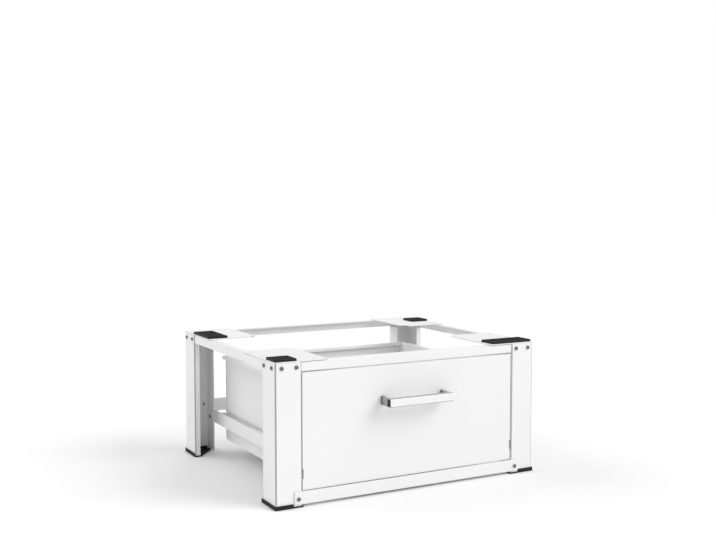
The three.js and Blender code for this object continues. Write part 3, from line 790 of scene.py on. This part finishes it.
def make_boot(corner):
    node = f"boot_{corner.name}"
    low, high = box_mm(node)
    leg_low, leg_high = box_mm(f"leg_{corner.name}")
    face, side = (leg_high - leg_low).xy
    out = -(SEAT_GAP + BOOT_WALL)
    base = prism(corner.outline([
        (out, out), (face + BOOT_EDGE, out), (face + BOOT_EDGE, BOOT_HEEL),
        (LEG_LIP + BOOT_EDGE, side + BOOT_EDGE), (out, side + BOOT_EDGE),
    ]), "z", low.z, BOOT_BASE)
    rail_start = box_mm("lower_front_rail")[0].x - FRAME_LEFT
    wall_end = face if corner.rear else rail_start - BOOT_EDGE
    inside = FRAME_SHEET + SEAT_GAP
    tall = (low.z, high.z)
    walls = [
        corner.block((out, wall_end), (out, -SEAT_GAP), tall),
        corner.block((out, -SEAT_GAP), (out, side + BOOT_EDGE), tall),
        corner.block((inside + BEND, face - FRAME_SHEET - 2 * BOOT_EDGE),
                     (inside, inside + BOOT_WALL), tall),
        corner.block((inside, inside + BOOT_WALL), (inside + BEND, side - LEG_LIP), tall),
    ]
    body = softened(join(base, walls), BOOT_ROUND, 3)
    finish(body, f"{node}_moulded", "black_rubber", "frame", [node])


PLATE_ROUND = 1.5
PLATE_DIAGONAL = 14.0  # legs of the corner that is cut off inside the frame


def make_corner_plate(corner):
    node = f"corner_plate_{corner.name}"
    low, high = box_mm(node)
    body = prism(rounded(low.x, low.y, high.x, high.y, PLATE_ROUND), "z", low.z, high.z)
    end_x = high.x - low.x + SEAT_GAP
    end_y = high.y - low.y + SEAT_GAP
    clipped = prism(corner.outline([
        (end_x - PLATE_DIAGONAL, end_y + BEYOND), (end_x - PLATE_DIAGONAL, end_y),
        (end_x, end_y - PLATE_DIAGONAL), (end_x + BEYOND, end_y - PLATE_DIAGONAL),
        (end_x + BEYOND, end_y + BEYOND),
    ]), "z", *past(low.z, high.z))
    finish(softened(cut(body, [clipped]), EDGE), f"{node}_bevelled", "white_paint", "frame", [node])


PLATE_SCREW_INSET = 10.0
PLATE_SCREW_ALONG = (30.0, 86.0, 100.0, 150.0)
PLATE_SCREW_PITCH = 30.0  # least distance of two screws
PLATE_SCREW_CLEAR = 3.0  # from a head to the pad and to the plate's edge


def within(place, low, high, margin):
    """Whether a place in plan lies in a box widened by the margin."""
    x, y = place
    return low.x - margin < x < high.x + margin and low.y - margin < y < high.y + margin


def plate_screw_spots(corner):
    """Places of the countersunk screws over the rails that no pad covers."""
    plate = box_mm(f"corner_plate_{corner.name}")
    pad = box_mm(f"pad_{corner.name}")
    clear = PLATE_SCREW[0] + PLATE_SCREW_CLEAR
    places = []
    for along in PLATE_SCREW_ALONG:
        for a, b in ((along, PLATE_SCREW_INSET), (PLATE_SCREW_INSET, along)):
            place = (corner.x(a), corner.y(b))
            crowded = any(math.dist(other, place) < PLATE_SCREW_PITCH for other in places)
            if within(place, *plate, -clear) and not within(place, *pad, clear) and not crowded:
                places.append(place)
    return [("up", (x, y, plate[1].z)) for x, y in places]


PAD_ROUND = 4.0
PAD_EDGE = 0.5
PAD_RIM = 4.0
PAD_RECESS = 1.25
PAD_RECESS_ROUND = 2.0
RIB_PITCH = 4.8
RIB_HALF = 0.9
RIB_ROUND = 0.85
RIB_EDGE = 0.25
RIB_END = 2.2  # from the rim to the ribs
RIB_ROOT = 0.4  # a rib's depth under the recess's floor
RIB_DROP = 0.55  # from the pad's top to the ribs'
SQUARE_EDGES = 50.0  # degrees: softens square edges and leaves round outlines as they are


def make_pad(corner):
    """A pad with a recess in its top, and ribs along X on the recess's floor."""
    node = f"pad_{corner.name}"
    low, high = box_mm(node)
    floor = high.z - PAD_RECESS
    body = prism(rounded(low.x, low.y, high.x, high.y, PAD_ROUND, 8), "z", low.z, high.z)
    well = rounded(low.x + PAD_RIM, low.y + PAD_RIM, high.x - PAD_RIM, high.y - PAD_RIM,
                   PAD_RECESS_ROUND)
    body = softened(cut(body, [prism(well, "z", floor, high.z + BEYOND)]), PAD_EDGE, 3)
    middle = (low + high) / 2
    room = (high - low) / 2 - Vector((1, 1, 0)) * (PAD_RIM + RIB_END)
    count = int(2 * room.y / RIB_PITCH) + 1
    ribs = []
    for i in range(count):
        y = middle.y + (i - (count - 1) / 2) * RIB_PITCH
        outline = rounded(middle.x - room.x, y - RIB_HALF, middle.x + room.x, y + RIB_HALF,
                          RIB_ROUND, 4)
        rib = prism(outline, "z", floor - RIB_ROOT, high.z - RIB_DROP)
        ribs.append(softened(rib, RIB_EDGE, 2, SQUARE_EDGES))
    finish(together([body, *ribs]), f"{node}_ribbed", "black_rubber", "frame", [node])


MITRE_REACH = 23.0  # past the width of a top rail's flange


def mitre_tools(along_x, top):
    """Tools that cut the ends of a top rail's flange along the frame's diagonals."""
    near, far = -BEYOND, MITRE_REACH
    shift = SEAT_GAP if along_x else -SEAT_GAP
    tools = []
    for name in CORNERS:
        if along_x:
            points = [(near, near - shift), (far, far - shift), (near, far - shift)]
        else:
            points = [(near + shift, near), (far + shift, far), (far + shift, near)]
        outline = Corner(name).outline(points)
        tools.append(prism(outline, "z", top - FRAME_SHEET - BEND, top + BEYOND))
    return tools


def make_top_rail(side):
    node = f"top_rail_{side}"
    low, high = box_mm(node)
    half = FRAME_SHEET / 2
    along_x = side in ("front", "rear")
    axis = "x" if along_x else "y"
    across = (low.y, high.y) if along_x else (low.x, high.x)
    outer, inner = across if side in ("front", "left") else across[::-1]
    step = math.copysign(half, inner - outer)
    path = [(outer + step, low.z), (outer + step, high.z - half), (inner, high.z - half)]
    ends = (low.x, high.x) if along_x else (low.y, high.y)
    body = prism(folded(path, FRAME_SHEET), axis, *ends)
    frame_sheet(cut(body, mitre_tools(along_x, high.z)), node)


CROSS_SHELF_GAP = 1.0  # from a runner's upright to the end of a cross rail's flange


def make_cross_rail(node, rear):
    low, high = box_mm(node)
    half = FRAME_SHEET / 2
    outer, inner = (high.y, low.y) if rear else (low.y, high.y)
    step = math.copysign(half, inner - outer)
    path = [(outer + step, high.z), (outer + step, low.z + half), (inner, low.z + half)]
    body = prism(folded(path, FRAME_SHEET), "x", low.x, high.x)
    shelf = box_mm("runner_left")[0].x + FRAME_SHEET + CROSS_SHELF_GAP
    inward = (outer + 2 * step, inner + math.copysign(BEYOND, step))
    tall = past(low.z, high.z)
    tools = [
        block((low.x - BEYOND, shelf), inward, tall),
        block((high.x + BEYOND, 2 * MIDDLE_X - shelf), inward, tall),
    ]
    frame_sheet(cut(body, tools), node)


def make_frame():
    for name in CORNERS:
        corner = Corner(name)
        make_leg(corner)
        make_boot(corner)
        make_corner_plate(corner)
        make_pad(corner)
    for side in ("front", "rear", "left", "right"):
        make_top_rail(side)
    make_cross_rail("lower_front_rail", False)
    make_cross_rail("rear_cross_rail", True)
    screw = countersunk_mesh(*PLATE_SCREW)
    for name in CORNERS:
        group_of(screw, f"plate_screws_{name}", "frame", plate_screw_spots(Corner(name)))
    discard(screw)


# ----- runners and slides
def mirrored(side, low, high):
    """A function that turns a distance from a box's outboard face into a place along X."""
    return (lambda d: low.x + d) if side == "left" else (lambda d: high.x - d)


def make_runner(side):
    node = f"runner_{side}"
    low, high = box_mm(node)
    at = mirrored(side, low, high)
    half = FRAME_SHEET / 2
    wide = high.x - low.x
    path = [(at(half), high.z), (at(half), low.z + half), (at(wide), low.z + half)]
    frame_sheet(prism(folded(path, FRAME_SHEET), "y", low.y, high.y), node)


SLIDE_BEND = 0.5
SLIDE_EDGE = 0.1
SLIDE_THICK = 12.7
BALL_RADIUS = 2.0
BALL_GAP = 0.15
BALL_PAIRS = 5
OUTER_BALL = (4.4, 12.5)
OUTER_LIP_U = 8.3
MIDDLE_WEB_U = 2.6
MIDDLE_LIP_U = 10.6
MIDDLE_CHAMFER = 1.4
DRAWER_WEB_U = SLIDE_THICK - SLIDE_SHEET / 2
DRAWER_CURL_U = 5.0
DRAWER_CURL = 1.6
RACE_RADIUS = BALL_RADIUS + BALL_GAP + SLIDE_SHEET / 2
RACE_CHAMFER = OUTER_BALL[0] - SLIDE_SHEET / 2 - RACE_RADIUS * (math.sqrt(2) - 1)
BALL_TOP = OUTER_BALL[1] + RACE_RADIUS
MIDDLE_TOP = OUTER_BALL[1] - RACE_RADIUS
INNER_BALL = (7.8, MIDDLE_TOP - RACE_RADIUS)
DRAWER_TOP = INNER_BALL[1] - RACE_RADIUS
HOLE_INSET = 36.0
HOLE_RADIUS = 2.25
HOLE_REACH = 2.0  # of a hole's tool to both sides of the web
SLOT_SIZE = (16.0, 5.0)
SLOT_SHARES = (0.27, 0.73)  # of a member's length
CAGE_SHEET = 0.6
CAGE_BEND = 0.25
CAGE_EDGE = 0.06
CAGE_WINDOW = 9.0

# upper half of each member's middle line, from its web to its lip
SECTIONS = {
    "fixed": [
        (SLIDE_SHEET / 2, BALL_TOP - RACE_CHAMFER), (SLIDE_SHEET / 2 + RACE_CHAMFER, BALL_TOP),
        (OUTER_LIP_U - RACE_CHAMFER, BALL_TOP), (OUTER_LIP_U, BALL_TOP - RACE_CHAMFER),
        (OUTER_LIP_U, OUTER_BALL[1] - 1),
    ],
    "middle": [
        (MIDDLE_WEB_U, MIDDLE_TOP), (MIDDLE_LIP_U - MIDDLE_CHAMFER, MIDDLE_TOP),
        (MIDDLE_LIP_U, MIDDLE_TOP - MIDDLE_CHAMFER), (MIDDLE_LIP_U, INNER_BALL[1]),
    ],
    "drawer": [
        (DRAWER_WEB_U, DRAWER_TOP), (DRAWER_CURL_U, DRAWER_TOP),
        (DRAWER_CURL_U, DRAWER_TOP + DRAWER_CURL),
    ],
}
# web and lip of each cage along u, its half height, and the place of its upper balls
CAGES = {
    "outer": (1.55, 7.0, OUTER_BALL[1] - 0.4, OUTER_BALL),
    "inner": (3.8, 9.3, INNER_BALL[1], INNER_BALL),
}


class Slide:
    """Sections of a slide: u runs from the runner towards the drawer, v up from its middle."""

    def __init__(self, side):
        self.side = side
        low, high = box_mm(f"slide_fixed_{side}")
        self.start = low.x if side == "left" else high.x
        self.middle = (low.z + high.z) / 2

    def x(self, u):
        return self.start + (u if self.side == "left" else -u)

    def outline(self, upper, sheet, bend=SLIDE_BEND):
        lower = [(u, -v) for u, v in upper][::-1]
        path = [(self.x(u), self.middle + v) for u, v in lower + upper]
        return folded(path, sheet, bend, 4)

    def hole(self, u, y):
        """Tool for a round hole through a web."""
        tool = turned([(0, -HOLE_REACH), (HOLE_RADIUS, -HOLE_REACH),
                       (HOLE_RADIUS, HOLE_REACH), (0, HOLE_REACH)], 20)
        tool.data.transform(aimed("right", (self.x(u), y, self.middle)))
        return tool

    def long_hole(self, u, y, length, height):
        """Tool for a hole with round ends through a web."""
        x = self.x(u)
        outline = rounded(y - length / 2, self.middle - height / 2, y + length / 2,
                          self.middle + height / 2, height / 2 - HAIR)
        return prism(outline, "x", x - HOLE_REACH, x + HOLE_REACH)


def hole_places(node):
    """Places along Y of a slide member's three screw holes."""
    low, high = box_mm(node)
    return [low.y + HOLE_INSET, (low.y + high.y) / 2, high.y - HOLE_INSET]


def make_slides(side):
    """The three members of a slide and its two ball cages."""
    slide = Slide(side)
    rides = {"fixed": "frame", "middle": f"{side}_middle", "drawer": "drawer"}
    for kind, section in SECTIONS.items():
        node = f"slide_{kind}_{side}"
        low, high = box_mm(node)
        web = section[0][0]
        body = prism(slide.outline(section, SLIDE_SHEET), "y", low.y, high.y)
        holes = [slide.hole(web, y) for y in hole_places(node)]
        for share in SLOT_SHARES:
            holes.append(slide.long_hole(web, low.y + (high.y - low.y) * share, *SLOT_SIZE))
        body = softened(cut(body, holes), SLIDE_EDGE, 1)
        finish(body, f"{node}_rolled", "zinc_steel", rides[kind], [node])
    for kind in CAGES:
        make_cage(slide, kind)


def ball(place):
    shape = bmesh.new()
    bmesh.ops.create_uvsphere(shape, u_segments=20, v_segments=12, radius=BALL_RADIUS)
    bmesh.ops.translate(shape, vec=place, verts=shape.verts)
    return solid(shape)


def make_cage(slide, kind):
    """A cage of thin strip, with windows between its pairs of balls."""
    web, lip, half_height, (ball_u, ball_v) = CAGES[kind]
    node = f"ball_cage_{kind}_{slide.side}"
    low, high = box_mm(node)
    outline = slide.outline([(web, half_height), (lip, half_height)], CAGE_SHEET, CAGE_BEND)
    strip = prism(outline, "y", low.y, high.y)
    pitch = (high.y - low.y) / BALL_PAIRS
    windows = []
    for i in range(1, BALL_PAIRS):
        windows.append(slide.long_hole(web, low.y + pitch * i, pitch / 2, CAGE_WINDOW))
    strip = softened(cut(strip, windows), CAGE_EDGE, 1)
    balls = []
    for i in range(BALL_PAIRS):
        y = low.y + pitch * (i + 0.5)
        for v in (-ball_v, ball_v):
            balls.append(ball((slide.x(ball_u), y, slide.middle + v)))
    body = together([strip, *balls])
    rides = f"{slide.side}_{kind}_cage"
    finish(body, f"{node}_with_balls", "zinc_steel", rides, [node])


RUNNER_RIVET_INSET = 8.5  # from the runner's front end
RUNNER_RIVET_EDGE = 8.0  # from its lower and upper edges
RUNNER_BOLT_INSET = 18.0  # from the frame's rear
RUNNER_BOLT_RISE = 12.0
SCREW_SUNK = 0.15  # of the slide's screws in the fixed member
SLIDE_PLAY = 0.3  # from the slide to the drawer's side


def make_side_fasteners():
    """Rivets and bolts of the runners, and screws of the slides and the drawer's sides."""
    rivet = rivet_mesh(*RUNNER_RIVET)
    screw = screw_mesh(*SIDE_SCREW)
    flush = countersunk_mesh(*SLIDE_SCREW)
    bolt = bolt_mesh()
    nut = nut_mesh()
    for side in SIDES:
        slide = Slide(side)
        low, high = box_mm(f"runner_{side}")
        at = mirrored(side, low, high)
        inboard = "right" if side == "left" else "left"
        on_runner, on_leg = at(FRAME_SHEET), at(-SEAT_GAP - FRAME_SHEET)
        spots = []
        for z in (low.z + RUNNER_RIVET_EDGE, high.z - RUNNER_RIVET_EDGE):
            spots.append((inboard, (on_runner, low.y + RUNNER_RIVET_INSET, z)))
            spots.append((side, (on_leg, low.y + RUNNER_RIVET_INSET, z)))
        group_of(rivet, f"runner_rivets_{side}", "frame", spots)
        y, z = FRAME_REAR - RUNNER_BOLT_INSET, low.z + RUNNER_BOLT_RISE
        pair = [copy_at(bolt, aimed(side, (on_leg, y, z))),
                copy_at(nut, aimed(inboard, (on_runner, y, z)))]
        finish(together(pair), f"runner_bolt_{side}", "bolt_steel", "frame")
        web = slide.x(SLIDE_SHEET - SCREW_SUNK)
        spots = [(inboard, (web, y, slide.middle)) for y in hole_places(f"slide_fixed_{side}")]
        group_of(flush, f"slide_screws_{side}", "frame", spots)
        wall = slide.x(SLIDE_THICK + SLIDE_PLAY + DRAWER_SHEET)
        spots = [(inboard, (wall, y, slide.middle)) for y in hole_places(f"slide_drawer_{side}")]
        group_of(screw, f"drawer_side_screws_{side}", "drawer", spots)
    discard(rivet, screw, flush, bolt, nut)


# ----- drawer
RIM_WIDTH = 10.0
RIM_DROP = 7.5
BOX_FLANGE = 15.0
FLANGE_BELOW_RIM = 11.0
FLANGE_CLEAR = 5.0  # from the sides' flanges to the end of the rear's
BOTTOM_CLEAR = 2.5  # from the sides' flanges to the bottom's upturned edges


def make_drawer_side(side):
    node = f"drawer_side_{side}"
    low, high = box_mm(node)
    at = mirrored(side, low, high)
    half = DRAWER_SHEET / 2
    wall = at(RIM_WIDTH + half)
    flange = at(RIM_WIDTH + BOX_FLANGE)
    upright = folded([
        (at(half), high.z - RIM_DROP), (at(half), high.z - half), (wall, high.z - half),
        (wall, low.z + half), (flange, low.z + half),
    ], DRAWER_SHEET)
    level = folded([
        (flange, low.y + half), (wall, low.y + half),
        (wall, high.y - half), (flange, high.y - half),
    ], DRAWER_SHEET)
    room = BEND + DRAWER_SHEET
    turns = prism(level, "z", low.z + room + SEAT_GAP, high.z - FLANGE_BELOW_RIM - SEAT_GAP)
    drawer_sheet(join(prism(upright, "y", low.y + room, high.y - room), [turns]), node)


def make_drawer_rear():
    node = "drawer_rear"
    low, high = box_mm(node)
    half = DRAWER_SHEET / 2
    rim = high.y - RIM_WIDTH
    section = folded([
        (rim + half, high.z - RIM_DROP), (rim + half, high.z - half),
        (high.y - half, high.z - half), (high.y - half, low.z + half), (low.y, low.z + half),
    ], DRAWER_SHEET)
    body = prism(section, "x", low.x, high.x)
    panel = high.y - DRAWER_SHEET
    tools = []
    for x, way in ((low.x, 1), (high.x, -1)):
        outside = x - way * BEYOND
        rim_end = (outside, x + way * (DRAWER_SHEET + SEAT_GAP))
        flange_end = (outside, x + way * (BOX_FLANGE + FLANGE_CLEAR))
        tools.append(block(rim_end, (rim - BEYOND, panel), past(high.z - RIM_DROP, high.z)))
        tools.append(block(flange_end, (low.y - BEYOND, panel), past(low.z, low.z)))
    drawer_sheet(cut(body, tools), node)


def make_drawer_bottom():
    node = "drawer_bottom"
    low, high = box_mm(node)
    half = DRAWER_SHEET / 2
    section = folded([
        (low.y + half, high.z), (low.y + half, low.z + half),
        (high.y - half, low.z + half), (high.y - half, high.z),
    ], DRAWER_SHEET)
    body = prism(section, "x", low.x, high.x)
    clear = box_mm("drawer_side_left")[1].x + BOTTOM_CLEAR
    room = BEND + DRAWER_SHEET
    tools = []
    for x in ((low.x - BEYOND, clear), (high.x + BEYOND, 2 * MIDDLE_X - clear)):
        for y in ((low.y - BEYOND, low.y + room), (high.y + BEYOND, high.y - room)):
            tools.append(block(x, y, past(low.z, high.z)))
    drawer_sheet(cut(body, tools), node)


FRONT_ROUND = 0.9
FRONT_LEVEL_ROUND = 0.25
FRONT_INNER_ROUND = 0.3
FRONT_TOP_TRIM = 1.7
FRONT_BOTTOM_DROP = 0.3
FRONT_SPARE = 20.0  # depth that is added behind the front and cut off again
FRONT_NOTCH = (51.0, 71.0, 2.5)  # bottom and top above the lower rail's foot, and depth


def front_shell(low, high, upright_round, level_round):
    """Box whose front edges are round, with a radius of their own above and below."""
    deep = high.y + FRONT_SPARE
    plan = prism(rounded(low.x, low.y, high.x, deep, upright_round), "z", low.z, high.z)
    elevation = prism(rounded(low.y, low.z, deep, high.z, level_round), "x", low.x, high.x)
    return combined(plan, [elevation], "INTERSECT")


def make_drawer_front():
    node = "drawer_front"
    low, high = box_mm(node)
    high.z -= FRONT_TOP_TRIM
    low.z -= FRONT_BOTTOM_DROP
    inset = Vector((1, 1, 1)) * DRAWER_SHEET
    spare = Vector((0, FRONT_SPARE, 0))
    outer = front_shell(low, high, FRONT_ROUND, FRONT_LEVEL_ROUND)
    inner = front_shell(low + inset, high - inset + spare, FRONT_INNER_ROUND, FRONT_INNER_ROUND)
    behind = block(past(low.x, high.x), (high.y, high.y + 3 * FRONT_SPARE), past(low.z, high.z))
    tools = [inner, behind]
    bottom, top, deep = FRONT_NOTCH
    rail = box_mm("lower_front_rail")[0].z
    for x, way in ((low.x, 1), (high.x, -1)):
        notch = (x - way * BEYOND, x + way * deep)
        tools.append(block(notch, past(low.y, high.y), (rail + bottom, rail + top)))
    finish(cut(outer, tools), f"{node}_pan", "white_paint", "drawer", [node], 30)


FASTENER_INSET = 8.0  # from a drawer side's wall to the fasteners of its flanges
FASTENER_MIDDLE = 140.0  # above the floor
FRONT_SCREW_ENDS = (34.0, 25.0)  # above a side's foot and below its rim
REAR_RIVET_ENDS = (16.0, 28.0)


def fastener_heights(low, high, ends):
    """Heights of the lowest, middle and highest fastener of a drawer side's flange."""
    return (low.z + ends[0], FASTENER_MIDDLE, high.z - ends[1])


def make_drawer_fasteners():
    """Screws of the handle and the drawer's front, and rivets of its rear."""
    screw = screw_mesh(*FRONT_SCREW)
    rivet = rivet_mesh(*REAR_RIVET)
    handle_screw = screw_mesh(*HANDLE_SCREW)
    handle_low, handle_high = box_mm("handle")
    inside = box_mm("drawer_front")[0].y + DRAWER_SHEET
    height = (handle_low.z + handle_high.z) / 2
    post = POST_INSET + POST_WIDE / 2
    spots = [("rear", (x, inside, height)) for x in (handle_low.x + post, handle_high.x - post)]
    group_of(handle_screw, "handle_screws", "drawer", spots)
    rear = box_mm("drawer_rear")[1].y
    for side in SIDES:
        low, high = box_mm(f"drawer_side_{side}")
        x = mirrored(side, low, high)(RIM_WIDTH + FASTENER_INSET)
        heights = fastener_heights(low, high, FRONT_SCREW_ENDS)
        spots = [("rear", (x, low.y + DRAWER_SHEET, z)) for z in heights]
        group_of(screw, f"front_screws_{side}", "drawer", spots)
        spots = []
        for z in fastener_heights(low, high, REAR_RIVET_ENDS):
            spots.append(("rear", (x, rear, z)))
            spots.append(("front", (x, high.y - DRAWER_SHEET, z)))
        group_of(rivet, f"rear_rivets_{side}", "drawer", spots)
    discard(screw, rivet, handle_screw)


# ----- handle
BAR_DEPTH = 15.0
BAR_HEIGHT = 17.0
BAR_ROUND = 1.5
TUBE_WALL = 1.0
TUBE_EDGE = 0.2
CAP_DEEP = 4.0
CAP_INSET = 0.3
CAP_EDGE = 0.25
POST_WIDE = 7.0
POST_INSET = 0.5
POST_EDGE = 0.7


def make_handle():
    """A square tube with a cap in each end, on two posts that widen towards the drawer."""
    low, high = box_mm("handle")
    middle = (low.z + high.z) / 2
    bottom, top = middle - BAR_HEIGHT / 2, middle + BAR_HEIGHT / 2
    rear = low.y + BAR_DEPTH
    outline = rounded(low.y, bottom, rear, top, BAR_ROUND)
    well = rounded(low.y + TUBE_WALL, bottom + TUBE_WALL, rear - TUBE_WALL, top - TUBE_WALL,
                   BAR_ROUND - TUBE_WALL / 2, 4)
    wells = [prism(well, "x", low.x - BEYOND, low.x + CAP_DEEP),
             prism(well, "x", high.x - CAP_DEEP, high.x + BEYOND)]
    tube = cut(prism(outline, "x", low.x, high.x), wells)
    tube = softened(tube, TUBE_EDGE, 2, SQUARE_EDGES)
    finish(tube, "handle_bar", "satin_metal", "drawer", ["handle"])
    caps = []
    for end in ((low.x + CAP_INSET, low.x + CAP_DEEP), (high.x - CAP_DEEP, high.x - CAP_INSET)):
        caps.append(softened(prism(well, "x", *end), CAP_EDGE, 2, SQUARE_EDGES))
    finish(together(caps), "handle_end_caps", "black_plastic", "drawer")
    front = rear - BAR_ROUND
    outline = [(front, bottom), (high.y, low.z), (high.y, high.z), (front, top)]
    posts = []
    for x in (low.x + POST_INSET, high.x - POST_INSET - POST_WIDE):
        posts.append(softened(prism(outline, "x", x, x + POST_WIDE), POST_EDGE, 4, 60))
    finish(together(posts), "handle_posts", "satin_metal", "drawer")


def make_drawer():
    for side in SIDES:
        make_drawer_side(side)
    make_drawer_rear()
    make_drawer_bottom()
    make_drawer_front()
    make_drawer_fasteners()
    make_handle()


# ----- all together
make_camera()
make_studio()
make_floor()
make_frame()
make_bolts()
for side_name in SIDES:
    make_runner(side_name)
    make_slides(side_name)
make_side_fasteners()
make_drawer()
